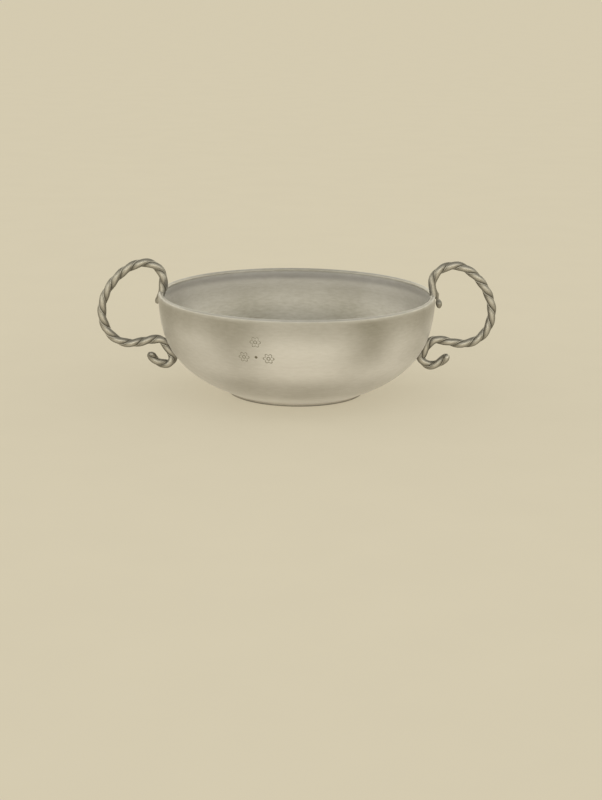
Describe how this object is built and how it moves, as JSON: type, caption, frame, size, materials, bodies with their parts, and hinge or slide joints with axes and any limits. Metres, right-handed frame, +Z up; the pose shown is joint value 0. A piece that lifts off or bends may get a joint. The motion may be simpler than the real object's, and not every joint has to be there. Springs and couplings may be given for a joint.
{
  "type": "two-handled bowl",
  "caption": "Small raised silver bowl with a thick rounded lip, a low foot ring and two upright scroll handles of twisted half-round wire.",
  "frame": {"origin": "centre of the base, on the surface that the foot ring rests on", "axes": "+Z up; the two handles lie along X, one at each end; +Y points away from the viewer of the picture"},
  "size_m": [0.1654, 0.1142, 0.0553],
  "materials": {
    "bowl_silver": "satin aged silver",
    "foot_silver": "satin aged silver, darker in the corners",
    "wire_silver": "polished silver with tarnish in the grooves"
  },
  "bodies": {
    "root": {"bowl_body": "bowl_silver", "foot_ring": "foot_silver", "right_handle_wire_a": "wire_silver", "right_handle_wire_b": "wire_silver", "left_handle_wire_a": "wire_silver", "left_handle_wire_b": "wire_silver"}
  },
  "joints": []
}
